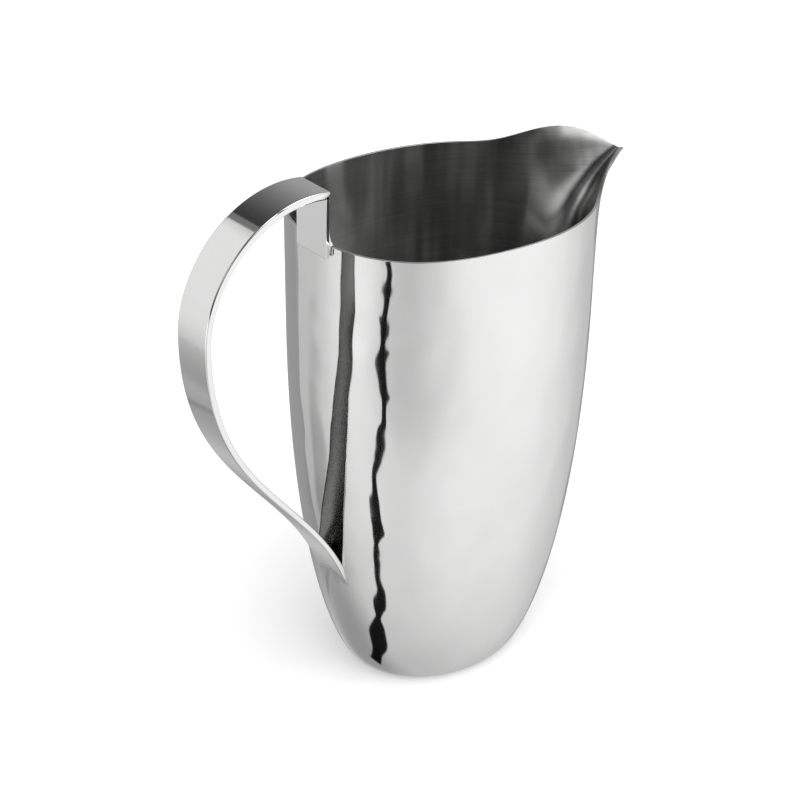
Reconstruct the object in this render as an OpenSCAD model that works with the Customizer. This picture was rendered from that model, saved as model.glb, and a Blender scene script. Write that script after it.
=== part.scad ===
// Pouring pitcher of polished sheet steel, with an oval bowl, a pulled spout and a flat strap handle.
// The base stands on z = 0 with its middle at the origin, the spout points along +X and the
// handle lies along -X. All lengths are millimetres.

/* [Bowl] */
// Height of the rim beside the handle
rim_h = 214; // [185:1:245]
// Thickness of the bowl's sheet
wall = 1; // [0.8:0.1:1.4]
// Mean radius of the oval base
base_r = 32.6; // [27:0.1:38]
// Mean radius of the oval bowl once it stops widening
top_r = 58.5; // [53:0.1:64]
// Height at which the bowl stops widening
swell_h = 162.5; // [145:0.5:180]
// Length of the base's oval as a share of its mean diameter
base_stretch_share = 1.13; // [1.1:0.005:1.16]
// Length of the rim's oval as a share of its mean diameter
rim_stretch_share = 1.146; // [1.12:0.002:1.17]

/* [Spout] */
// How far the rim sinks from the handle towards the spout
rim_fall = 7.3; // [4:0.1:11]
// How far the spout is pulled out past the oval
spout_reach = 31; // [24:0.5:36]
// How far down from the rim the spout is pulled
spout_depth = 54; // [44:1:64]
// How far the rim climbs into the spout's lip
spout_lift = 25.8; // [22:0.2:29]
// How far the middle of the lip turns down again
spout_droop = 30; // [26:0.2:34]
// Angle from the middle of the spout to its shoulder, in degrees
spout_angle = 52; // [46:1:58]

/* [Handle] */
// Width of the strap
strap_w = 17.5; // [14:0.5:20]
// Thickness of the strap at its upper end
strap_t = 3.3; // [2.6:0.1:3.8]
// Thickness of the strap at its foot
strap_foot_t = 2.2; // [1.8:0.1:2.6]
// Height of the strap's top above the rim
handle_rise = 24.7; // [20:0.1:28]
// Outer radius of the strap's upper bend
bend_r = 49; // [44:0.1:54]
// Distance from the bowl's back to the middle of the upper bend
bend_set_back = 11; // [9:0.1:13]
// How far the strap's upper end passes over the leg's back
strap_overhang = 0.85; // [0.4:0.05:1.2]
// Height at which the strap's foot dies into the bowl
foot_h = 48.5; // [45:0.5:56]
// How far the strap's foot would run on into the wall before it is trimmed
foot_sink = 1.9; // [1.7:0.1:2.6]
// Angle of the strap's foot from upright, in degrees
foot_lean_angle = 16.6; // [15:0.2:19]
// Thickness of the upright leg under the strap's upper end
leg_t = 1.9; // [1.5:0.1:2.4]
// How far the leg laps down over the rim
leg_lap = 4.5; // [3.5:0.1:6]

/* [Welds] */
// Width of the welded seam round the base
seam_w = 1.2; // [0.8:0.1:1.6]
// Gap behind the leg that the weld fills
leg_gap = 0.15; // [0.1:0.05:0.3]
// Height of the weld's fillet above the rim, behind the leg
fillet_h = 9.5; // [7:0.5:12]
// Depth of the weld's fillet from the leg's back
fillet_t = 2.9; // [2.6:0.1:3.2]
// How far the weld laps down inside the rim
fillet_lap = 5; // [4:0.5:7]
// How far the small weld under the strap's end runs down the leg's back
corner_h = 1.8; // [1:0.1:3]
// How far that weld stands out past the strap's lower corner
corner_t = 0.4; // [0.2:0.05:0.6]
// Size of the bead round the strap's foot
foot_bead = 0.7; // [0.5:0.1:1]

/* [Hidden] */

// How early and how roundly the bowl's profile swells
swell_early_share = 2.25;
swell_round_share = 1.56;
// How much blunter than an ellipse the rim is behind and in front
rear_blunt_share = 0.23;
front_blunt_share = 0.11;
// How slender the spout is, how pointed its tip is, how it curls out and how far its sides spread
spout_slender_share = 4.1;
spout_point_share = 3.8;
spout_curl_share = 3;
spout_side_share = 0.25;
// How far the lower bend runs straight out of the grip and into the foot, against the bend's radius
grip_pull_share = 1.435;
foot_pull_share = 1.164;

// The bowl's grid of facets, closer together at the spout, the base and the rim
cols = 80;
rows = 26;
col_crowd_share = 0.35;
row_crowd_share = 0.85;
// Steps over which a surface's slope is measured
nudge_angle = 0.5;
nudge_share = 0.002;
// The part of that grid that lies behind the handle, and the rows beside its foot and its leg
back_cols = 4;
foot_row_first = 5;
foot_row_last = 16;
leg_row_first = 20;
// Facets along the strap's two bends
bend_steps = 22;
belly_steps = 26;
fillet_steps = 8;

back_x = half_len(rim_h);
leg_back_x = back_x + leg_gap;
grip_h = rim_h + handle_rise;
bend_x = back_x + bend_set_back;
bend_z = grip_h - bend_r;
foot_x = half_len(foot_h) - foot_sink;
// How deep behind the bowl's surface the handle's foot is trimmed away
trim_depth = 4*(strap_t + foot_sink);

// Mean radius, length and width of the oval bowl at height z
function mean_r(z) =
    let (gone = pow(max(0, 1 - z/swell_h), swell_early_share))
    base_r + (top_r - base_r)*pow(max(0, 1 - gone), 1/swell_round_share);
function stretch(z) = base_stretch_share + (rim_stretch_share - base_stretch_share)*z/rim_h;
function half_len(z) = mean_r(z)*stretch(z);
function half_wid(z) = mean_r(z)/stretch(z);
function blunt(a, z) = (cos(a) < 0 ? rear_blunt_share : front_blunt_share)*pow(cos(a), 2)*z/rim_h;

// Share of the spout's pull at angle a round the rim: 1 at its tip, 0 from its shoulders on
function spout_pull(a) =
    let (near = max(0, 1 - abs(a)/spout_angle))
    pow(near, spout_slender_share)*(1 + spout_point_share*(1 - near));

// Height of the rim at angle a: it sinks gently to the spout's shoulders, climbs into the lip
// and turns down at the tip
function rim_z(a) =
    let (front = (1 + cos(a))/2, pull = spout_pull(a))
    rim_h - rim_fall*front*front*(3 - 2*front) + spout_lift*pull - spout_droop*pull*pull;

// A point of the bowl's outer surface, at angle a and at a share up of the way from base to rim
function outer_pt(a, up) =
    let (
        top = rim_z(a),
        z = up*top,
        curl = pow(max(0, 1 - (top - z)/spout_depth), spout_curl_share),
        pull = spout_pull(a)*curl
    )
    [
        half_len(z)*cos(a) + spout_reach*pull,
        half_wid(z)*sin(a)*(1 + blunt(a, z))*(1 + spout_side_share*pull),
        z
    ];

// The direction out of that surface. The wall leaves the flat base level.
function outer_dir(a, up) =
    let (
        du = min(nudge_share, up/2),
        round_step = outer_pt(a + nudge_angle, up) - outer_pt(a - nudge_angle, up),
        rise_step = outer_pt(a, up + du) - outer_pt(a, up - du),
        dir = cross(round_step, rise_step)
    )
    up == 0 ? [0, 0, -1] : dir/norm(dir);

// Angles of the grid's columns, from -180 to 180 with 0 at the spout, and shares of its rows
function col_angle(j) =
    let (even = 360*j/cols, a = even - col_crowd_share*sin(even)*180/PI)
    a > 180 ? a - 360 : a;
function row_share(i) = i/rows - row_crowd_share*sin(360*i/rows)/(2*PI);

// Points of the grid's rows and columns, moved out of the surface by a distance and along a vector
function grid(row_list, col_list, out, shift) = [
    for (i = row_list)
        for (j = col_list)
            outer_pt(col_angle(j), row_share(i)) + out*outer_dir(col_angle(j), row_share(i)) + shift
];

// Two triangles for the four corners of a facet, named clockwise from outside
function facet(a, b, c, d) = [[a, b, c], [a, c, d]];

// Faces between an outer and an inner grid of nr rows and nc columns. A looped one closes on itself.
function skin(nr, nc, looped) =
    let (deep = nr*nc, last = looped ? nc - 1 : nc - 2)
    [
        for (i = [0 : nr - 2])
            for (j = [0 : last])
                let (a = i*nc + j, b = i*nc + (j + 1)%nc)
                each concat(
                    facet(a, a + nc, b + nc, b),
                    facet(a + deep, b + deep, b + nc + deep, a + nc + deep)
                ),
        for (j = [0 : last])
            let (a = j, b = (j + 1)%nc, top = (nr - 1)*nc)
            each concat(
                facet(a, b, b + deep, a + deep),
                facet(b + top, a + top, a + top + deep, b + top + deep)
            ),
        if (!looped)
            for (i = [0 : nr - 2])
                let (a = i*nc, b = i*nc + nc - 1)
                each concat(
                    facet(a + deep, a + nc + deep, a + nc, a),
                    facet(b, b + nc, b + nc + deep, b + deep)
                )
    ];

module sheet(outside, inside, nr, nc, looped) {
    polyhedron(points = concat(outside, inside), faces = skin(nr, nc, looped), convexity = 10);
}

// A piece of the bowl's back, between its surface moved out and its surface moved in and along X
module back_piece(first, last, out, in, shift) {
    row_list = [first : last];
    col_list = [cols/2 - back_cols : cols/2 + back_cols];
    sheet(
        grid(row_list, col_list, out, [0, 0, 0]),
        grid(row_list, col_list, -in, [shift, 0, 0]),
        last - first + 1, 2*back_cols + 1, false
    );
}

// The oval of the base, drawn in by an inset
module base_oval(inset) {
    polygon([
        for (j = [0 : cols - 1])
            [(half_len(0) - inset)*cos(col_angle(j)), (half_wid(0) - inset)*sin(col_angle(j))]
    ]);
}

// The strap's outer line, each point with the direction towards its inner face: the upper bend
// from the strap's end down to the grip, then one sweep down to the foot
bend_first_angle = acos((bend_x - leg_back_x + strap_overhang)/bend_r);
upper_line = [
    for (k = [0 : bend_steps])
        let (a = bend_first_angle + (180 - bend_first_angle)*k/bend_steps)
        [[bend_r*cos(a) - bend_x, bend_z + bend_r*sin(a)], [-cos(a), -sin(a)]]
];
sweep_ends = [
    [-bend_x - bend_r, bend_z],
    [-bend_x - bend_r, bend_z - grip_pull_share*bend_r],
    [
        -foot_x - foot_pull_share*bend_r*sin(foot_lean_angle),
        foot_h + foot_pull_share*bend_r*cos(foot_lean_angle)
    ],
    [-foot_x, foot_h]
];
function sweep_pt(p, s) =
    pow(1 - s, 3)*p[0] + 3*pow(1 - s, 2)*s*p[1] + 3*(1 - s)*s*s*p[2] + pow(s, 3)*p[3];
function sweep_dir(p, s) =
    let (
        d = pow(1 - s, 2)*(p[1] - p[0]) + 2*(1 - s)*s*(p[2] - p[1]) + s*s*(p[3] - p[2]),
        unit = d/norm(d)
    )
    [-unit[1], unit[0]];
lower_line = [
    for (k = [1 : belly_steps])
        [sweep_pt(sweep_ends, k/belly_steps), sweep_dir(sweep_ends, k/belly_steps)]
];
strap_line = concat(upper_line, lower_line);

function strap_depth(k) = strap_t + (strap_foot_t - strap_t)*k/(len(strap_line) - 1);

// The middle and the lower corner of the strap's upper end
end_mid = upper_line[0][0] + strap_depth(0)/2*upper_line[0][1];
end_low = upper_line[0][0] + strap_depth(0)*upper_line[0][1];

// A profile in the X-Z plane, made as wide as the strap and a little more on each side
module across(more = 0) {
    width = strap_w + 2*more;
    translate([0, width/2, 0])
        rotate([90, 0, 0])
            linear_extrude(height = width, convexity = 10)
                children();
}

// The strap before its foot is trimmed, grown all round by a margin
module strap_blank(grow = 0) {
    last = len(strap_line) - 1;
    across(grow)
        polygon(concat(
            [for (k = [0 : last]) strap_line[k][0] - grow*strap_line[k][1]],
            [for (k = [last : -1 : 0]) strap_line[k][0] + (strap_depth(k) + grow)*strap_line[k][1]]
        ));
}

module body_shell() {
    row_list = [0 : rows];
    col_list = [0 : cols - 1];
    color([0.80, 0.81, 0.82])
        sheet(
            grid(row_list, col_list, 0, [0, 0, 0]),
            grid(row_list, col_list, -wall, [0, 0, 0]),
            rows + 1, cols, true
        );
}

module base_disc() {
    color([0.70, 0.71, 0.72])
        linear_extrude(height = wall)
            base_oval(seam_w);
}

// The seam joins the disc to the sheet's lower edge
module base_seam() {
    color([0.62, 0.63, 0.64])
        linear_extrude(height = wall)
            difference() {
                base_oval(0);
                base_oval(seam_w);
            }
}

module handle_strap() {
    color([0.86, 0.87, 0.88])
        difference() {
            strap_blank();
            back_piece(foot_row_first, foot_row_last, 0, 0, trim_depth);
        }
}

// The upright leg stands from just below the rim up to the underside of the strap
module handle_leg() {
    color([0.84, 0.85, 0.86])
        difference() {
            across()
                polygon([
                    [-leg_back_x - leg_t, rim_h - leg_lap],
                    [-leg_back_x, rim_h - leg_lap],
                    [-leg_back_x, end_mid[1]],
                    [-leg_back_x - leg_t, end_mid[1]]
                ]);
            strap_blank();
        }
}

// The weld fills the wedge between the flat leg and the round wall, and runs up behind the leg
// in a hollow fillet
module leg_weld() {
    hollow = [
        for (k = [0 : fillet_steps])
            let (a = 90*k/fillet_steps)
            [-leg_back_x + fillet_t*(1 - cos(a)), rim_h + fillet_h*(1 - sin(a))]
    ];
    color([0.66, 0.67, 0.68])
        difference() {
            across()
                polygon(concat(
                    hollow,
                    [
                        [-leg_back_x + (wall + fillet_t)/2, rim_h - fillet_lap],
                        [-leg_back_x, rim_h - leg_lap]
                    ]
                ));
            back_piece(leg_row_first, rows, 0, wall, 0);
        }
}

// The small weld fills the corner between the leg's back and the strap's end, and laps up that end
module corner_weld() {
    color([0.66, 0.67, 0.68])
        difference() {
            across()
                polygon([
                    [-leg_back_x, end_low[1] - corner_h],
                    [end_low[0] + corner_t, end_low[1]],
                    end_mid,
                    [-leg_back_x, end_mid[1]]
                ]);
            strap_blank();
        }
}

// A thin bead round the strap's foot, no thicker than its own size
module foot_weld() {
    color([0.66, 0.67, 0.68])
        difference() {
            intersection() {
                strap_blank(foot_bead);
                back_piece(foot_row_first, foot_row_last, foot_bead, 0, 0);
            }
            strap_blank();
        }
}

body_shell();
base_disc();
base_seam();
handle_strap();
handle_leg();
leg_weld();
corner_weld();
foot_weld();
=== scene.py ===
"""A pouring pitcher of polished sheet steel, standing on a white table.

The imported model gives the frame: metres, the base's middle at the origin, +Z up, the spout
along +X and the handle along -X. The bowl, strap, leg and welds are shown as finer surfaces
worked out from the same sizes as the CAD solids, which they replace.
"""

import math

import bpy
import numpy as np
from mathutils import Matrix


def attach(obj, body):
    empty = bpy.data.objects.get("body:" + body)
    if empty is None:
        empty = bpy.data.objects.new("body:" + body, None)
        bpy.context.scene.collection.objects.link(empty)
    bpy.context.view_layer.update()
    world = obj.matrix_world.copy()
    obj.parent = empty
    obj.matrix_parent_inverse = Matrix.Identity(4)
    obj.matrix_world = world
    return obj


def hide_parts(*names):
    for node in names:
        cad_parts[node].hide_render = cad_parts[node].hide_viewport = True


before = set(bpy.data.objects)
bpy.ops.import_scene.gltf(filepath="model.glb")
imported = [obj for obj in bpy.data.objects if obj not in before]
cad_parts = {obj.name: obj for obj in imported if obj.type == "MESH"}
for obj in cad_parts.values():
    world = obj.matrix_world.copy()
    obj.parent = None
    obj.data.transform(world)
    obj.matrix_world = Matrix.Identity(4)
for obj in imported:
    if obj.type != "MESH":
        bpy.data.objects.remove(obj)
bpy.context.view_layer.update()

MM = 0.001
QUARTER_TURN = 0.25

# Sizes of the bowl, as in the CAD source, in millimetres and shares

RIM_H = 214.0
WALL = 1.0
BASE_R, TOP_R, SWELL_H = 32.6, 58.5, 162.5
BASE_STRETCH, RIM_STRETCH = 1.13, 1.146
SWELL_EARLY, SWELL_ROUND = 2.25, 1.56
REAR_BLUNT, FRONT_BLUNT = 0.23, 0.11
RIM_FALL = 7.3
SPOUT_REACH, SPOUT_DEPTH, SPOUT_LIFT, SPOUT_DROOP = 31.0, 54.0, 25.8, 30.0
SPOUT_ANGLE = math.radians(52.0)
SPOUT_SLENDER, SPOUT_POINT, SPOUT_CURL, SPOUT_SIDE = 4.1, 3.8, 3.0, 0.25
TIP_SOFT, TROUGH_SOFT = math.radians(1.2), math.radians(10.0)
TROUGH_SPREAD, TROUGH_START = 2.5, 4
RIM_EDGE = 0.15

# Sizes of the handle and its welds

STRAP_W, STRAP_T, STRAP_FOOT_T = 17.5, 3.3, 2.2
HANDLE_RISE, BEND_R, BEND_SET_BACK, STRAP_OVERHANG = 24.7, 49.0, 11.0, 0.85
FOOT_H, FOOT_SINK, FOOT_LEAN = 48.5, 1.9, math.radians(16.6)
GRIP_PULL, FOOT_PULL = 1.435, 1.164
LEG_T, LEG_LAP, LEG_GAP = 1.9, 4.5, 0.15
FILLET_H, FILLET_T, FILLET_LAP = 9.5, 2.9, 5.0
BEAD_SIDE, BEAD_UNDER = 0.6, 1.6
STRAP_ROUND, LEG_ROUND = 0.55, 0.35
WALL_BITE = 0.35
BEND_STEPS, BELLY_STEPS = 22, 26

# Points at each corner of a bar's section, and rows in the rounding of a bar's end
CORNER_POINTS, ROUND_ROWS = 14, 6

# How far the shown surfaces lie inside the CAD's, whose flat facets cut across their curves
SKIN = 0.03

# Light

# The tent's slit, on a plane one unit below: half its width, then where it swells and where it
# bends aside. Each row is a bell curve: its middle along the slit, its spread and its height.
SLIT_HALF = 0.075
SLIT_BULGES = (
    (1.13, 0.05, 0.13),
    (0.66, 0.07, -0.02),
    (0.465, 0.055, 0.08),
    (0.33, 0.03, -0.03),
    (0.12, 0.05, 0.02),
    (0.0, 0.04, -0.03),
    (-0.16, 0.10, 0.035),
)
SLIT_BENDS = (
    (1.20, 0.12, -0.04),
    (0.86, 0.13, 0.05),
    (0.68, 0.20, -0.09),
    (0.36, 0.08, -0.04),
    (0.21, 0.10, 0.08),
    (0.0, 0.20, 0.04),
)
# Its direction, how far it is moved aside, where it starts and ends, and how soft its edge is.
SLIT_COS, SLIT_SIN, SLIT_SHIFT = 0.676, 0.737, 0.6
SLIT_START, SLIT_END, SLIT_EDGE = (-0.62, -0.55), (1.38, 1.60), 0.012
SLIT_DARK = 0.985

# The tent's soft lights, and where it is darker. Each row is the turn from +X and the height
# that it comes from, in degrees, how tightly it is gathered there, and its brightness.
SHEET_LIGHT, ROOM_LIGHT = 0.58, 0.02
SHEET_LOBES = ((-52, 0, 2.0, 0.63), (174, 0, 6.0, 0.95), (-2, 0, 9.0, -0.26))
ROOM_LOBES = ((44, 8, 4.5, 0.37), (-143, 34, 32.0, 1.35), (-163, 24, 60.0, 0.8))
WINDOW_LOBES = ((-54, 48, 9.0, 4.4),)
PANEL_LIGHT, PANEL_FOOT_LIGHT, WALL_LIGHT = 0.90, 0.88, 0.16

# What falls on dull things, the table's own grey and what it adds to the eye
PLAIN_LIGHT = 0.15
TABLE_GREY, TABLE_GLOW = 0.80, 0.41

# The least roughness of brushed satin. Where it crossed about 0.27, a fine line would show.
SATIN_ROUGH = 0.285


# Surfaces


def unit(vectors):
    """Vectors of length one along the given ones."""
    return vectors / np.linalg.norm(vectors, axis=-1, keepdims=True)


def mean_radius(z):
    """The oval's mean radius at height z: it swells from the base and is even from SWELL_H up."""
    gone = np.clip(1 - z / SWELL_H, 0, None) ** SWELL_EARLY
    return BASE_R + (TOP_R - BASE_R) * np.clip(1 - gone, 0, None) ** (1 / SWELL_ROUND)


def stretch(z):
    """Length of the oval against its mean diameter."""
    return BASE_STRETCH + (RIM_STRETCH - BASE_STRETCH) * z / RIM_H


def half_length(z):
    return mean_radius(z) * stretch(z)


def half_width(z):
    return mean_radius(z) / stretch(z)


def bluntness(angle, z):
    """How far the oval stands out sideways past an ellipse, more behind than in front."""
    share = np.where(np.cos(angle) < 0, REAR_BLUNT, FRONT_BLUNT)
    return share * np.cos(angle) ** 2 * z / RIM_H


def spout_pull(angle, soft=TIP_SOFT):
    """Share of the spout's pull: 1 at its tip, 0 from its shoulders on. Its middle line is an
    edge rounded over the angle soft: the turn from it is the root of a sum of squares."""
    flatten = np.exp(-((angle / (TROUGH_SPREAD * soft)) ** 2))
    turn = np.sqrt(angle**2 + soft**2) - (soft - TIP_SOFT) * flatten
    near = np.clip(1 - turn / SPOUT_ANGLE, 0, None)
    return near**SPOUT_SLENDER * (1 + SPOUT_POINT * (1 - near))


def rim_height(angle, soft=TIP_SOFT):
    """The rim sinks gently towards the spout, climbs into its lip and turns down at the tip."""
    front = (1 + np.cos(angle)) / 2
    pull = spout_pull(angle, soft)
    fall = RIM_FALL * front**2 * (3 - 2 * front)
    return RIM_H - fall + SPOUT_LIFT * pull - SPOUT_DROOP * pull**2


def bowl_point(angle, up):
    """The outer surface: an oval at each height, carried out along +X where the spout is pulled.
    The spout's middle is sharp only at the tip, and a round trough from a little below it."""
    top = rim_height(angle)
    z = up * top
    below = np.clip((top - z) / SPOUT_DEPTH, 0, 1)
    soft = TIP_SOFT + (TROUGH_SOFT - TIP_SOFT) * (1 - (1 - below) ** TROUGH_START)
    curl = np.clip(1 - (rim_height(angle, soft) - z) / SPOUT_DEPTH, 0, None) ** SPOUT_CURL
    pull = spout_pull(angle, soft) * curl
    x = half_length(z) * np.cos(angle) + SPOUT_REACH * pull
    side = (1 + bluntness(angle, z)) * (1 + SPOUT_SIDE * pull)
    y = half_width(z) * np.sin(angle) * side
    return np.stack([x, y, z + 0 * angle], -1)


def bowl_outward(angle, up):
    """Unit direction out of that surface, from its slopes round and up. Its lowest row points
    straight down."""
    turn, rise, least = math.radians(0.25), 0.001, 1e-6
    step = np.minimum(rise, up / 2) + least
    round_step = bowl_point(angle + turn, up) - bowl_point(angle - turn, up)
    rise_step = bowl_point(angle, up + step) - bowl_point(angle, np.maximum(up - step, 0))
    out = unit(np.cross(round_step, rise_step))
    return np.where(up[..., None] <= 0, np.array([0.0, 0.0, -1.0]), out)


def wall_x(y, z, halvings=40):
    """X of the bowl's back at a place y, z, by halving the angle's range until its y is met."""
    low = np.full(np.broadcast(y, z).shape, math.pi / 2)
    high = np.full_like(low, math.pi)
    for _ in range(halvings):
        mid = (low + high) / 2
        far = half_width(z) * np.sin(mid) * (1 + bluntness(mid, z)) > np.abs(y)
        low = np.where(far, mid, low)
        high = np.where(far, high, mid)
    return half_length(z) * np.cos((low + high) / 2)


def wall_outward(y, z):
    """Unit direction out of the bowl's back at a place y, z, from its slopes there."""
    step = 0.05
    slope_y = (wall_x(y + step, z) - wall_x(y - step, z)) / (2 * step)
    slope_z = (wall_x(y, z + step) - wall_x(y, z - step)) / (2 * step)
    return unit(np.stack([-np.ones_like(y), slope_y, slope_z], -1))


def mesh_piece(name, points, faces, paints, paint_of_face=None, sharp_past=None):
    """A smooth mesh from points in millimetres and faces of four or more corners. Edges that
    turn by more than sharp_past degrees stay sharp."""
    mesh = bpy.data.meshes.new(name)
    mesh.from_pydata((points * MM).tolist(), [], faces)
    for paint in paints:
        mesh.materials.append(paint)
    mesh.polygons.foreach_set("use_smooth", np.ones(len(mesh.polygons), bool))
    if paint_of_face is not None:
        mesh.polygons.foreach_set("material_index", paint_of_face.astype(np.int32))
    mesh.update()
    if sharp_past is not None:
        mesh.set_sharp_from_angle(angle=math.radians(sharp_past))
    piece = bpy.data.objects.new(name, mesh)
    bpy.context.scene.collection.objects.link(piece)
    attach(piece, "root")
    return piece


def tube_faces(rows, cols):
    """Faces of a grid that is closed round its columns and open at its first and last row."""
    i, j = np.meshgrid(np.arange(rows - 1), np.arange(cols), indexing="ij")
    a, b = i * cols + j, i * cols + (j + 1) % cols
    return np.stack([a, b, b + cols, a + cols], -1).reshape(-1, 4)


def closing_faces(rows, cols):
    """Faces that join such a grid's last row to its first."""
    here, there = np.arange(cols), (np.arange(cols) + 1) % cols
    last = (rows - 1) * cols
    return np.stack([last + here, last + there, there, here], -1)


def cap_faces(cols, bar):
    """The faces that close a ring: one, or for a bar's section a strip of them, each of which
    goes across the bar's depth, so that a hollow end is followed."""
    if not bar:
        return [np.arange(cols)]
    i = np.arange(-CORNER_POINTS // 2, cols // 2 - CORNER_POINTS // 2 - 1)
    j = cols - CORNER_POINTS - 1 - i
    return list(np.stack([i, i + 1, j - 1, j], -1) % cols)


def tube_piece(name, grid, paints, second_cols=None, sharp_past=None, bar=True):
    """A closed tube of a grid of points, row by row along it, with a cap on each end. Its faces
    are turned to point out, and those at second_cols get the second paint."""
    rows, cols = grid.shape[:2]
    faces = tube_faces(rows, cols)
    ring = cap_faces(cols, bar)
    caps = [cap[::-1] for cap in ring] + [(rows - 1) * cols + cap for cap in ring]
    if second_cols is None:
        second_cols = np.zeros(cols, bool)
    paint_of_face = np.concatenate([np.tile(second_cols, rows - 1), np.zeros(len(caps), bool)])
    points = grid.reshape(-1, 3)
    a, b, c, d = (points[faces[:, k]] for k in range(4))
    if (np.cross(c - a, d - b) * (a + b + c + d - 4 * points.mean(0))).sum() < 0:
        faces, caps = faces[:, ::-1], [cap[::-1] for cap in caps]
    faces = faces.tolist() + [cap.tolist() for cap in caps]
    return mesh_piece(name, points, faces, paints, paint_of_face, sharp_past)


def crowded(count, crowd):
    """Shares from 0 to 1 that lie closer together at both ends."""
    even = np.linspace(0, 1, count)
    return even - crowd * np.sin(2 * math.pi * even) / (2 * math.pi)


def rim_land(outer, inner, out, turns):
    """The rim's narrow top, from the outer surface over to the inner one: rows on a half turn
    that is nearly square, so that the top is flat and its edges are soft."""
    squareness = 0.4
    middle = (outer[-1] + inner[-1]) / 2
    rise = unit(outer[-1] - outer[-2])
    roll = (math.pi * np.arange(1, turns) / turns)[:, None, None]
    side = np.sign(np.cos(roll)) * np.abs(np.cos(roll)) ** squareness
    lift = np.sin(roll) ** squareness
    return middle + WALL / 2 * side * out[-1] + RIM_EDGE * lift * rise


def bowl(outside, inside):
    """The bowl's sheet: its outer surface up to the rim, a rim with softly rounded edges, its
    inner surface one wall in along the slope, and a butt edge at the base disc."""
    rows, cols, turns = 140, 300, 7
    front_crowd, end_crowd = 0.35, 0.85
    even = 2 * math.pi * np.arange(cols) / cols
    angle = even - front_crowd * np.sin(even)
    angle = np.where(angle > math.pi, angle - 2 * math.pi, angle)
    up = crowded(rows, end_crowd) * (1 - RIM_EDGE / RIM_H)
    around, high = np.meshgrid(angle, up)
    out = bowl_outward(around, high)
    outer = bowl_point(around, high) - SKIN * out
    inner = outer - (WALL - SKIN) * out
    land = rim_land(outer, inner, out, turns)
    grid = np.concatenate([outer, land, inner[::-1]])
    is_inside = np.arange(len(grid) - 1).repeat(cols) >= rows + turns - 2
    paint_of_face = np.concatenate([is_inside, np.ones(cols)])
    faces = np.concatenate([tube_faces(len(grid), cols), closing_faces(len(grid), cols)])
    points = grid.reshape(-1, 3)
    piece = mesh_piece("bowl", points, faces.tolist(), [outside, inside], paint_of_face)
    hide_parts("body_shell")


BACK_X = float(half_length(np.array(RIM_H)))
LEG_BACK_X = BACK_X + LEG_GAP
GRIP_H = RIM_H + HANDLE_RISE
BEND_X = BACK_X + BEND_SET_BACK
BEND_Z = GRIP_H - BEND_R
FOOT_X = float(half_length(np.array(FOOT_H))) - FOOT_SINK
BEND_START = math.acos((BEND_X - LEG_BACK_X + STRAP_OVERHANG) / BEND_R)


def strap_line(along):
    """The strap's outer line and its direction inwards. along runs from 0 to 1 round the upper
    bend, an arc, and from 1 to 2 down the sweep, a cubic curve from the grip to the foot."""
    arc = BEND_START + (math.pi - BEND_START) * np.clip(along, 0, 1)
    bend = np.stack([BEND_R * np.cos(arc) - BEND_X, BEND_Z + BEND_R * np.sin(arc)], -1)
    bend_in = np.stack([-np.cos(arc), -np.sin(arc)], -1)
    pull = FOOT_PULL * BEND_R
    ends = np.array(
        [
            [-BEND_X - BEND_R, BEND_Z],
            [-BEND_X - BEND_R, BEND_Z - GRIP_PULL * BEND_R],
            [-FOOT_X - pull * math.sin(FOOT_LEAN), FOOT_H + pull * math.cos(FOOT_LEAN)],
            [-FOOT_X, FOOT_H],
        ]
    )
    s = np.clip(along - 1, 0, 1)[..., None]
    sweep = (1 - s) ** 3 * ends[0] + 3 * (1 - s) ** 2 * s * ends[1]
    sweep = sweep + 3 * (1 - s) * s**2 * ends[2] + s**3 * ends[3]
    run = (1 - s) ** 2 * (ends[1] - ends[0]) + 2 * (1 - s) * s * (ends[2] - ends[1])
    run = unit(run + s**2 * (ends[3] - ends[2]))
    sweep_in = np.stack([-run[..., 1], run[..., 0]], -1)
    lower = (along > 1)[..., None]
    return np.where(lower, sweep, bend), np.where(lower, sweep_in, bend_in)


def strap_depth(along):
    """Thickness of the strap, which thins evenly with its steps from the upper end to the foot."""
    steps = BEND_STEPS * np.clip(along, 0, 1) + BELLY_STEPS * np.clip(along - 1, 0, 1)
    return STRAP_T + (STRAP_FOOT_T - STRAP_T) * steps / (BEND_STEPS + BELLY_STEPS)


def bar_section(width, corner, across_steps=14):
    """A bar's section with rounded corners: y, the share of the bar's depth, and millimetres to
    add to that depth. Points just beside each corner hold the flat faces flat."""
    arc = np.linspace(0, math.pi / 2, CORNER_POINTS // 2 - 1)
    half = width / 2
    beside = 1.4
    hold = corner * beside
    flat = np.linspace(-half + hold, half - hold, across_steps)
    quarter_y = half - corner + corner * np.cos(arc)
    quarter_d = corner - corner * np.sin(arc)
    y = np.concatenate([flat, quarter_y[::-1], [half, half], quarter_y])
    share = np.concatenate([0 * flat, 0 * arc, [0, 1], 1 + 0 * arc])
    add = np.concatenate([0 * flat, quarter_d[::-1], [hold, -hold], -quarter_d])
    y_back = np.concatenate([flat[::-1], -quarter_y[::-1], [-half, -half], -quarter_y])
    share_back = np.concatenate([1 + 0 * flat, 1 + 0 * arc, [1, 0], 0 * arc])
    add_back = np.concatenate([0 * flat, -quarter_d[::-1], [-hold, hold], quarter_d])
    return (
        np.concatenate([y, y_back]),
        np.concatenate([share, share_back]),
        np.concatenate([add, add_back]),
    )


def strap_fibres(along, inset, section):
    """Points of the strap's section at places along it. inset draws the section in all round."""
    y, share, add = section
    line, inward = strap_line(along)
    deep = strap_depth(along) * share + add + inset * (1 - 2 * share) + SKIN * (1 - share)
    wide = y * (1 - 2 * inset / STRAP_W)
    x = line[..., 0] + deep * inward[..., 0]
    z = line[..., 1] + deep * inward[..., 1]
    return np.stack([x, wide + 0 * x, z], -1)


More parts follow.
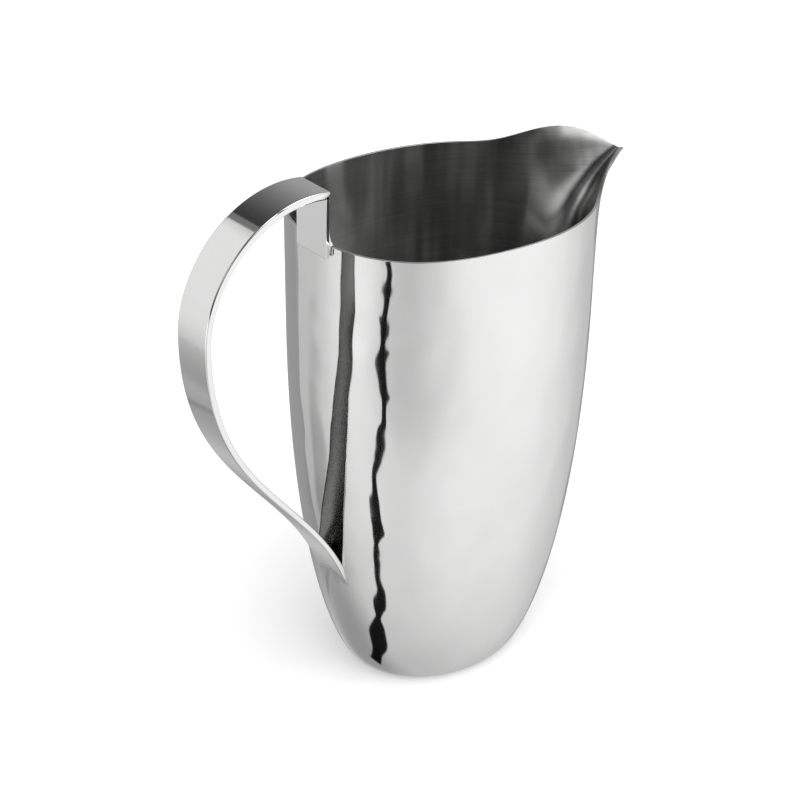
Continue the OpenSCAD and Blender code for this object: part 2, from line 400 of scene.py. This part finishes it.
def strap_stops(section, bite):
    """Where each long fibre of the strap ends: bite millimetres past the bowl's outer face."""
    near_foot, tries = 1.7, 500
    probe = np.linspace(near_foot, 2, tries)[:, None] + np.zeros((1, len(section[0])))
    tried = strap_fibres(probe, 0, section)
    depth_in = tried[..., 0] - wall_x(tried[..., 1], tried[..., 2]) - bite
    hit = np.argmax(depth_in > 0, axis=0)
    hit = np.where((depth_in > 0).any(0), hit, len(probe) - 1)
    return probe[hit, np.arange(len(section[0]))]


def strap(outside, inside):
    """The strap: the bar's section carried along its line. Its long fibres run alike as far as
    the lower half of the sweep and then each stops a little way inside the bowl's wall. The
    upper end is softly rounded, and two close rows hold the flat faces flat beside it."""
    section = bar_section(STRAP_W, STRAP_ROUND)
    count = len(section[0])
    stop = strap_stops(section, WALL_BITE)
    alike, rows, skipped = 1.5, 420, 4
    hold = np.array([0.008, 0.011])
    even = np.concatenate([hold, np.linspace(0, 2, rows)[skipped:]])[:, None]
    along = np.where(even < alike, even, alike + (even - alike) * (stop - alike) / (2 - alike))
    body = strap_fibres(along, 0, section)
    roll = np.linspace(0, math.pi / 2, ROUND_ROWS)[:, None]
    inward = strap_line(np.zeros(count))[1]
    tangent = np.stack([inward[:, 1], 0 * inward[:, 0], -inward[:, 0]], -1)
    tangent = tangent * np.sign(((body[5] - body[0]) * tangent).sum())
    ends = strap_fibres(np.zeros((ROUND_ROWS, count)), STRAP_ROUND * (1 - np.sin(roll)), section)
    ends = ends + (STRAP_ROUND * (1 - np.cos(roll)))[..., None] * tangent
    grid = np.concatenate([ends, body])
    flat_back = (section[1] == 1) & (section[2] == 0)
    second = flat_back & np.roll(flat_back, -1)
    piece = tube_piece("strap", grid, [outside, inside], second)
    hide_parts("handle_strap")


def leg(paint):
    """The upright leg: a flat bar with softly rounded edges, from its lap over the rim up into
    the middle of the strap's thickness."""
    y, share, add = bar_section(STRAP_W, LEG_ROUND)
    rows, beside = 30, 1.2
    roll = np.linspace(0, math.pi / 2, ROUND_ROWS)
    line, inward = strap_line(np.zeros(1))
    top = float(line[0, 1] + STRAP_T / 2 * inward[0, 1])
    foot = RIM_H - LEG_LAP
    rounded = foot + LEG_ROUND * (1 - np.cos(roll))
    heights = np.concatenate([rounded, np.linspace(foot + beside * LEG_ROUND, top, rows)])
    inset = np.concatenate([LEG_ROUND * (1 - np.sin(roll)), np.zeros(rows)])[:, None]
    deep = LEG_T * share + add + inset * (1 - 2 * share)
    x = -LEG_BACK_X - LEG_T + deep
    grid = np.stack([x, y * (1 - 2 * inset / STRAP_W), heights[:, None] + 0 * x], -1)
    piece = tube_piece("leg", grid, [paint])
    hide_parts("handle_leg")


def leg_weld(paint):
    """The weld behind the leg: a hollow quarter oval from the leg's back down to the rim, and
    below it a filling of the wedge between the leg and the round wall. One section, carried
    across the leg's width and drawn in a little at both ends."""
    bite, lap_short = 0.3, 0.2
    end_short, end_round, drawn_in, lower_width = 0.3, 0.2, 0.04, 0.84
    fillet_points, end_rows = 14, 4
    sweep = np.linspace(0, math.pi / 2, fillet_points)
    x = np.concatenate([FILLET_T * (1 - np.cos(sweep)), [(WALL + FILLET_T) / 2, -bite, -bite]])
    lower = [-FILLET_LAP, lap_short - LEG_LAP, FILLET_H]
    z = np.concatenate([FILLET_H * (1 - np.sin(sweep)), lower])
    loop = np.stack([x - LEG_BACK_X, z + RIM_H], -1)
    middle = loop.mean(0)
    roll = np.linspace(0, math.pi / 2, end_rows)
    half = STRAP_W / 2 - end_short
    y = end_round * (1 - np.cos(roll)) - half
    y = np.concatenate([y, -y[::-1]])
    draw = 1 - drawn_in * (1 - np.sin(roll))
    draw = np.concatenate([draw, draw[::-1]])
    shrunk = middle + draw[:, None, None] * (loop - middle)
    wide = y[:, None] * np.where(z < 0, lower_width, 1.0)
    grid = np.stack([shrunk[..., 0], wide, shrunk[..., 1]], -1)
    piece = tube_piece("leg_weld_bead", grid, [paint], sharp_past=40, bar=False)
    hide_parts("leg_weld")


def strap_outward(stop, y, deep):
    """Unit direction out of the strap's side at each point y, deep of its section, square to
    the section's edge there."""
    side = np.roll(deep, -1) - np.roll(deep, 1)
    side_deep = np.roll(y, 1) - np.roll(y, -1)
    turn = np.sign((side * y + side_deep * (deep - deep.mean())).sum())
    inward = strap_line(stop)[1]
    return turn * unit(np.stack([side_deep * inward[:, 0], side, side_deep * inward[:, 1]], -1))


def foot_weld(paint):
    """The weld round the strap's foot: a hollow fillet from each long fibre of the strap, a
    little way up from the wall, to the wall beside it. It is wider under the strap."""
    back, bead_rows = 0.01, 9
    strap_bite, wall_gap, core_depth = 0.02, 0.03, 0.3
    section = bar_section(STRAP_W, STRAP_ROUND)
    stop = strap_stops(section, 0.0)
    deep = strap_depth(stop) * section[1] + section[2]
    corner = strap_fibres(stop[None], 0, section)[0]
    up = unit(strap_fibres(stop[None] - back, 0, section)[0] - corner)
    away = strap_outward(stop, section[0], deep)
    wall_out = wall_outward(corner[:, 1], corner[:, 2])
    along_wall = unit(away - (away * wall_out).sum(-1, keepdims=True) * wall_out)
    under = np.clip(1 - deep / strap_depth(stop), 0, 1)[:, None]
    reach = BEAD_SIDE + (BEAD_UNDER - BEAD_SIDE) * under**2
    on_strap = corner + reach * up - strap_bite * away
    on_wall = corner + reach * along_wall
    on_wall[:, 0] = wall_x(on_wall[:, 1], on_wall[:, 2]) + wall_gap
    t = np.linspace(0, 1, bead_rows)[:, None, None]
    bead = (1 - t) ** 2 * on_strap + 2 * t * (1 - t) * corner + t**2 * on_wall
    core = corner - core_depth * away - core_depth * wall_out
    grid = np.concatenate([bead, core[None]])
    rows, cols = grid.shape[:2]
    faces = np.concatenate([tube_faces(rows, cols), closing_faces(rows, cols)])
    points = grid.reshape(-1, 3)
    a, b, c, d = (points[faces[:, k]] for k in range(4))
    volume = (np.cross(b - a, c - a) * a).sum() + (np.cross(c - a, d - a) * a).sum()
    if volume < 0:
        faces = faces[:, ::-1]
    piece = mesh_piece("foot_weld_bead", points, faces.tolist(), [paint], sharp_past=50)
    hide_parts("foot_weld")


# Paints, which are node materials


class Value:
    """A number that changes over a surface: a socket with arithmetic."""

    def __init__(self, paint, socket):
        self.paint = paint
        self.socket = socket

    def maths(self, operation, *others):
        node = self.paint.node(
            "ShaderNodeMath", {"operation": operation}, dict(enumerate((self.socket,) + others))
        )
        return Value(self.paint, node.outputs[0])

    def __add__(self, other):
        return self.maths("ADD", other)

    def __sub__(self, other):
        return self.maths("SUBTRACT", other)

    def __mul__(self, other):
        return self.maths("MULTIPLY", other)

    def __truediv__(self, other):
        return self.maths("DIVIDE", other)

    def __pow__(self, other):
        return self.maths("POWER", other)

    def __rsub__(self, other):
        return -self + other

    def __neg__(self):
        return self.maths("MULTIPLY", -1.0)

    __radd__ = __add__
    __rmul__ = __mul__

    def ramp(self, low, high, to_low=0.0, to_high=1.0):
        """Smooth step from to_low at low to to_high at high."""
        node = self.paint.node(
            "ShaderNodeMapRange",
            {"interpolation_type": "SMOOTHSTEP"},
            {0: self.socket, 1: low, 2: high, 3: to_low, 4: to_high},
        )
        return Value(self.paint, node.outputs[0])


class Paint:
    """A material or world under construction."""

    def __init__(self, owner):
        owner.use_nodes = True
        self.owner = owner
        self.tree = owner.node_tree
        self.tree.nodes.clear()

    def node(self, kind, settings=None, inputs=None):
        """A node: its settings first, then the values or links of its sockets."""
        made = self.tree.nodes.new(kind)
        for key, value in (settings or {}).items():
            setattr(made, key, value)
        for key, value in (inputs or {}).items():
            value = value.socket if isinstance(value, Value) else value
            if isinstance(value, bpy.types.NodeSocket):
                self.tree.links.new(value, made.inputs[key])
            else:
                made.inputs[key].default_value = value
        return made

    def place(self):
        """Object coordinates."""
        return self.node("ShaderNodeTexCoord").outputs["Object"]

    def axes(self, vector):
        made = self.node("ShaderNodeSeparateXYZ", None, {0: vector})
        return [Value(self, made.outputs[k]) for k in range(3)]

    def noise(self, scale, detail, rough, stretch_by=(1, 1, 1)):
        """Noise from 0 to 1 over Object coordinates, stretched along each axis."""
        inputs = {"Vector": self.place(), "Scale": stretch_by}
        mapped = self.node("ShaderNodeMapping", None, inputs)
        made = self.node(
            "ShaderNodeTexNoise",
            None,
            {"Vector": mapped.outputs[0], "Scale": scale, "Detail": detail, "Roughness": rough},
        )
        return Value(self, made.outputs[0])

    def blend(self, share, first, second):
        """A colour between two colours."""
        made = self.node(
            "ShaderNodeMix",
            {"data_type": "RGBA"},
            {0: share, 6: first, 7: second},
        )
        return made.outputs[2]

    def bump(self, height, distance, strength=1.0, normal=None):
        """A normal tilted by the slopes of a height, on top of another normal where given."""
        inputs = {"Height": height, "Distance": distance, "Strength": strength}
        if normal is not None:
            inputs["Normal"] = normal
        return self.node("ShaderNodeBump", None, inputs).outputs[0]

    def metal(self, colour, roughness, normal, brushed=0.0):
        """A metal. Level brush lines, where brushed is over 0, spread its light up and down,
        a quarter turn from the lines."""
        shader = self.node(
            "ShaderNodeBsdfPrincipled",
            None,
            {"Base Color": colour, "Metallic": 1.0, "Roughness": roughness, "Normal": normal},
        )
        shader.inputs["Anisotropic"].default_value = brushed
        shader.inputs["Anisotropic Rotation"].default_value = QUARTER_TURN
        self.node("ShaderNodeOutputMaterial", None, {"Surface": shader.outputs[0]})
        return self.owner


def new_paint(name):
    return Paint(bpy.data.materials.new(name))


def mirror_sheet():
    """The bowl's outside: mirror polish, with the slow swells that hand finishing leaves, which
    run up and down, and hair lines too fine to see one by one."""
    paint = new_paint("mirror_sheet")
    swell = paint.noise(44.0, 1.2, 0.45, (1.0, 1.0, 0.62))
    hair = paint.noise(260.0, 3.0, 0.6, (1.0, 1.0, 0.15))
    cloud = paint.noise(34.0, 4.0, 0.6)
    colour = paint.blend(cloud, (0.79, 0.79, 0.785, 1), (0.84, 0.84, 0.835, 1))
    rough = 0.035 + cloud * 0.03
    normal = paint.bump(swell, 0.0010)
    normal = paint.bump(hair, 0.00002, 0.3, normal)
    return paint.metal(colour, rough, normal)


def satin_sheet():
    """The bowl's inside: satin, brushed round and round, so its lines run level. The brush bit
    more in some patches, and shallow upright swells are left under it. Upright bands of light
    and dark are painted into its colour as painted reflections, stronger in those patches. It is
    rougher on the wall at the handle's end."""
    paint = new_paint("satin_sheet")
    lines = paint.noise(1.0, 3.0, 0.6, (16.0, 16.0, 1500.0))
    fine = paint.noise(1.0, 2.0, 0.5, (60.0, 60.0, 4200.0))
    brush_and_painted_light_patch = paint.noise(1.0, 2.0, 0.5, (42.0, 42.0, 30.0)).ramp(0.30, 0.72)
    # Painted reflections: upright bands of light and dark, used only in the colour
    painted_light_bands = paint.noise(1.0, 2.0, 0.5, (75.0, 75.0, 9.0)).ramp(0.38, 0.60)
    swell = paint.noise(1.0, 1.0, 0.5, (70.0, 70.0, 14.0))
    grain = lines * 0.7 + fine * 0.3
    back_wall = paint.axes(paint.place())[0].ramp(-0.03, 0.035, 1.0, 0.0)
    # The colour's light and dark: the real brush grain, plus the painted reflection bands,
    # stronger in the brush patches
    grain_and_painted_light = 0.4 * grain + 0.6 * painted_light_bands * (0.4 + 0.6 * brush_and_painted_light_patch)
    colour = paint.blend(grain_and_painted_light, (0.18, 0.18, 0.178, 1), (0.95, 0.95, 0.94, 1))
    rough = SATIN_ROUGH + grain * 0.03 + back_wall * (0.09 + 0.08 * brush_and_painted_light_patch)
    normal = paint.bump(swell, 0.0010, 0.7)
    normal = paint.bump((grain - 0.5) * (0.35 + 0.65 * brush_and_painted_light_patch), 0.00006, 0.8, normal)
    return paint.metal(colour, rough, normal, 0.8)


def satin_bar():
    """The strap's inner face: left satin and darker than the polished faces, with faint lines
    along its length. A near-black strip along each long edge is painted shade."""
    paint = new_paint("satin_bar")
    lines = paint.noise(1.0, 4.0, 0.6, (40.0, 1200.0, 40.0))
    # Painted shade: a near-black strip along each long edge of the strap's inner face
    side = paint.axes(paint.place())[1].maths("ABSOLUTE").ramp(0.0070, 0.0080)
    colour = paint.blend(lines, (0.24, 0.24, 0.24, 1), (0.36, 0.36, 0.355, 1))
    colour = paint.blend(side, colour, (0.05, 0.05, 0.05, 1))
    rough = 0.23 + lines * 0.06
    normal = paint.bump(lines, 0.00002, 0.2)
    return paint.metal(colour, rough, normal)


def mirror_bar():
    """The strap and its leg: mirror polish with faint lines along the bar's length."""
    paint = new_paint("mirror_bar")
    lines = paint.noise(1.0, 3.0, 0.6, (60.0, 1500.0, 60.0))
    cloud = paint.noise(40.0, 3.0, 0.6)
    colour = paint.blend(cloud, (0.80, 0.80, 0.795, 1), (0.85, 0.85, 0.845, 1))
    rough = 0.04 + cloud * 0.04
    normal = paint.bump(lines, 0.00002, 0.3)
    return paint.metal(colour, rough, normal)


def weld_bead():
    """Weld metal, ground and polished back but a little duller than the sheet."""
    paint = new_paint("weld_bead")
    grain = paint.noise(700.0, 4.0, 0.6)
    colour = paint.blend(grain, (0.72, 0.72, 0.71, 1), (0.80, 0.80, 0.79, 1))
    rough = 0.08 + grain * 0.10
    normal = paint.bump(grain, 0.00002, 0.4)
    return paint.metal(colour, rough, normal)


def brushed_disc():
    """The base disc: brushed straight across along X."""
    paint = new_paint("brushed_disc")
    lines = paint.noise(1.0, 4.0, 0.6, (20.0, 1800.0, 20.0))
    colour = paint.blend(lines, (0.50, 0.50, 0.495, 1), (0.66, 0.66, 0.65, 1))
    rough = 0.26 + lines * 0.14
    normal = paint.bump(lines, 0.00006, 0.5)
    return paint.metal(colour, rough, normal)


# The pieces

sheet_outside = mirror_sheet()
sheet_inside = satin_sheet()
bar_paint = mirror_bar()
bar_back_paint = satin_bar()
weld_paint = weld_bead()
disc_paint = brushed_disc()

bowl(sheet_outside, sheet_inside)
strap(bar_paint, bar_back_paint)
leg(bar_paint)
leg_weld(weld_paint)
foot_weld(weld_paint)

for node_name, node_paint in {
    "base_disc": disc_paint,
    "base_seam": weld_paint,
    "corner_weld": weld_paint,
}.items():
    node_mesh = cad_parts[node_name].data
    node_mesh.materials.clear()
    node_mesh.materials.append(node_paint)


# The table, the light and the camera


def floor(size=12.0):
    """A white table top, whose glow to the eye is under the even light, so that shadows stay."""
    paint = new_paint("white_table")
    grey = (TABLE_GREY, TABLE_GREY, TABLE_GREY, 1)
    plain = paint.node("ShaderNodeBsdfDiffuse", None, {"Color": grey})
    glow = paint.node("ShaderNodeEmission", None, {"Color": (1, 1, 1, 1), "Strength": TABLE_GLOW})
    black = paint.node("ShaderNodeEmission", None, {"Color": (0, 0, 0, 1), "Strength": 0.0})
    path = paint.node("ShaderNodeLightPath")
    seen = Value(paint, path.outputs["Is Camera Ray"])
    seen = seen.maths("MAXIMUM", path.outputs["Is Transmission Ray"])
    lift = paint.node(
        "ShaderNodeMixShader", None, {0: seen, 1: black.outputs[0], 2: glow.outputs[0]}
    )
    both = paint.node("ShaderNodeAddShader", None, {0: plain.outputs[0], 1: lift.outputs[0]})
    paint.node("ShaderNodeOutputMaterial", None, {"Surface": both.outputs[0]})
    half = size / 2
    corners = [(-half, -half, 0), (half, -half, 0), (half, half, 0), (-half, half, 0)]
    mesh = bpy.data.meshes.new("table")
    mesh.from_pydata(corners, [], [(0, 1, 2, 3)])
    mesh.materials.append(paint.owner)
    table = bpy.data.objects.new("table", mesh)
    bpy.context.scene.collection.objects.link(table)
    table.visible_glossy = False


def towards(turn, height):
    """Unit direction at a turn from +X and a height over the table, in degrees."""
    turn, height = math.radians(turn), math.radians(height)
    flat = math.cos(height)
    return (flat * math.cos(turn), flat * math.sin(turn), math.sin(height))


class Tent(Paint):
    """A world whose light is worked out from the direction that it comes from. z is the sine of
    that direction's height, and an upright edge is where the cosine from a level one is zero."""

    def __init__(self, owner):
        super().__init__(owner)
        self.way = self.node("ShaderNodeTexCoord").outputs["Generated"]
        self.x, self.y, self.z = self.axes(self.way)

    def facing(self, turn, height):
        """Cosine of the angle from a direction, given in degrees."""
        made = self.node(
            "ShaderNodeVectorMath",
            {"operation": "DOT_PRODUCT"},
            {0: self.way, 1: towards(turn, height)},
        )
        return Value(self, made.outputs["Value"])

    def lobes(self, shapes):
        """A sum of soft lights, each a power of that cosine."""
        total = 0.0
        for turn, height, tightness, brightness in shapes:
            near = self.facing(turn, height).maths("MAXIMUM", 0.0)
            total = total + brightness * near**tightness
        return total

    def humps(self, place, shapes):
        """A sum of bell curves, each with its middle, its spread and its height."""
        total = 0.0
        for middle, spread, rise in shapes:
            far = (place - middle) / spread
            total = total + rise * (-(far * far)).maths("EXPONENT")
        return total

    def slit(self):
        """The tent's slit, a wavy band on a plane below the pitcher: 1 in it, 0 beside it."""
        least_down = 0.02
        aside, aside_end = 0.05, 0.10
        down = (-self.z).maths("MAXIMUM", least_down)
        east, north = self.x / down + SLIT_SHIFT, self.y / down
        run = -SLIT_SIN * east - SLIT_COS * north
        drift = self.humps(run, SLIT_BENDS) + aside * run.ramp(-aside_end, aside_end, 1.0, 0.0)
        across = SLIT_COS * east - SLIT_SIN * north - drift
        half = (SLIT_HALF + self.humps(run, SLIT_BULGES)) * run.ramp(*SLIT_END, 1.0, 0.0)
        inside = (across.maths("ABSOLUTE") - half).ramp(-SLIT_EDGE, SLIT_EDGE, 1.0, 0.0)
        return inside * run.ramp(*SLIT_START)

    def sheet(self):
        """The white sheet below the table's level: soft lights, two softly darker places, a
        lighter foot in front, a fold, a level seam and the slit."""
        wide_dip, small_dip, foot_lift, fold_dip, seam_dip = 0.24, 0.18, 0.20, 0.23, 0.25
        light = SHEET_LIGHT + self.lobes(SHEET_LOBES)
        light = light - wide_dip * self.facing(115, -62).ramp(0.86, 1.0)
        light = light - small_dip * self.facing(128, -38).ramp(0.982, 0.998)
        foot = self.facing(-130, 0).ramp(0.1, 0.75) * self.z.ramp(-0.68, -0.50, 1.0, 0.0)
        light = light + foot_lift * foot
        fold = self.facing(15, 0).ramp(-0.008, 0.012) * self.facing(110, 0).ramp(0.0, 0.15)
        light = light - fold_dip * fold * self.z.ramp(-0.74, -0.60)
        seam_z = -0.70
        seam = (self.z - seam_z).maths("ABSOLUTE").ramp(0.004, 0.010, 1.0, 0.0)
        light = light * (1.0 - seam_dip * seam * self.facing(112, -44).ramp(0.955, 0.975))
        return light * (1.0 - SLIT_DARK * self.slit())

    def room(self):
        """The dark room above the table's level: soft lights, a window with a bar across it, and
        a faint wall behind the handle."""
        window = self.lobes(WINDOW_LOBES) * self.facing(-20, 0).ramp(-0.02, 0.03)
        window = window * self.z.ramp(0.10, 0.45)
        window = window * self.facing(22, 0).maths("ABSOLUTE").ramp(0.03, 0.08)
        wall = self.facing(183, 0).ramp(0.0, 0.02) * self.facing(80, 0).ramp(-0.05, 0.10)
        return ROOM_LIGHT + self.lobes(ROOM_LOBES) + window + WALL_LIGHT * wall

    def panel(self):
        """The tall white panel behind the handle's side: 1 on it, 0 beside it and over it."""
        across = self.facing(190.5, 0).ramp(-0.012, 0.012) * self.facing(52, 0).ramp(-0.02, 0.03)
        return across * self.z.ramp(0.66, 0.78, 1.0, 0.0)


def studio_world():
    """The light tent round the pitcher, as its polished metal mirrors it: a white sheet below the
    table's level and a dark room above it, which starts softly and a little lower in front, and
    the panel across both. What the light falls on dully, such as the table, gets plain even
    light."""
    world = bpy.data.worlds.new("studio")
    bpy.context.scene.world = world
    tent = Tent(world)
    sheet, room, panel = tent.sheet(), tent.room(), tent.panel()
    above = room + panel * (PANEL_LIGHT - room)
    below = sheet + tent.z.ramp(-0.55, -0.12) * panel * (PANEL_FOOT_LIGHT - sheet)
    front = tent.facing(-108, 0)
    lowered, softened = 0.10 * front.ramp(0.3, 0.95), 0.12 * front.ramp(0.0, 0.6)
    edge = tent.z + lowered
    edge_low, edge_high = -0.04 - softened, 0.02
    level = below + edge.ramp(edge_low, edge_high) * (above - below)
    mirrored = Value(tent, tent.node("ShaderNodeLightPath").outputs["Is Glossy Ray"])
    level = PLAIN_LIGHT + mirrored * (level - PLAIN_LIGHT)
    back = tent.node("ShaderNodeBackground", None, {"Color": (1, 1, 1, 1), "Strength": level})
    tent.node("ShaderNodeOutputWorld", None, {"Surface": back.outputs[0]})


def sun_light(name, turn, height, strength, softness):
    """Soft light from one direction, in degrees. The metal doesn't mirror it."""
    lamp = bpy.data.lights.new(name, "SUN")
    lamp.energy = strength
    lamp.angle = math.radians(softness)
    holder = bpy.data.objects.new(name, lamp)
    bpy.context.scene.collection.objects.link(holder)
    back = np.array(towards(turn, height))
    right = unit(np.cross((0, 0, 1), back))
    up = np.cross(back, right)
    holder.matrix_world = Matrix(np.stack([right, up, back], 1).tolist()).to_4x4()
    holder.visible_glossy = False


def camera():
    """The photograph's camera, from its turn round the pitcher, its height, its roll and the
    distance along its view. A pinhole 800 pixels wide fits the photograph at this length."""
    turn, height, roll = math.radians(-41.923), math.radians(30.723), math.radians(1.1555)
    distance, aim_h = 1155.24, 107.0
    slide, climb = -16.0375, 8.358
    focal_px, frame_px, sensor = 2785.0, 800.0, 36.0
    half_px = 0.5
    back = np.array(
        [math.sin(turn) * math.cos(height), -math.cos(turn) * math.cos(height), math.sin(height)]
    )
    right = np.array([math.cos(turn), math.sin(turn), 0.0])
    up = np.cross(back, right)
    target = np.array([0, 0, aim_h]) + slide * right + climb * up
    right, up = (
        math.cos(roll) * right + math.sin(roll) * up,
        math.cos(roll) * up - math.sin(roll) * right,
    )
    lens = bpy.data.cameras.new("camera")
    lens.sensor_width = sensor
    lens.lens = sensor * focal_px / frame_px
    lens.shift_x = -half_px / frame_px
    lens.shift_y = half_px / frame_px
    holder = bpy.data.objects.new("camera", lens)
    bpy.context.scene.collection.objects.link(holder)
    place = Matrix(np.stack([right, up, back], 1).tolist()).to_4x4()
    place.translation = (target + distance * back) * MM
    holder.matrix_world = place
    bpy.context.scene.camera = holder


floor()
studio_world()
sun_light("key", turn=-118, height=74, strength=2.9, softness=50)
camera()
bpy.context.scene.view_settings.view_transform = "Standard"
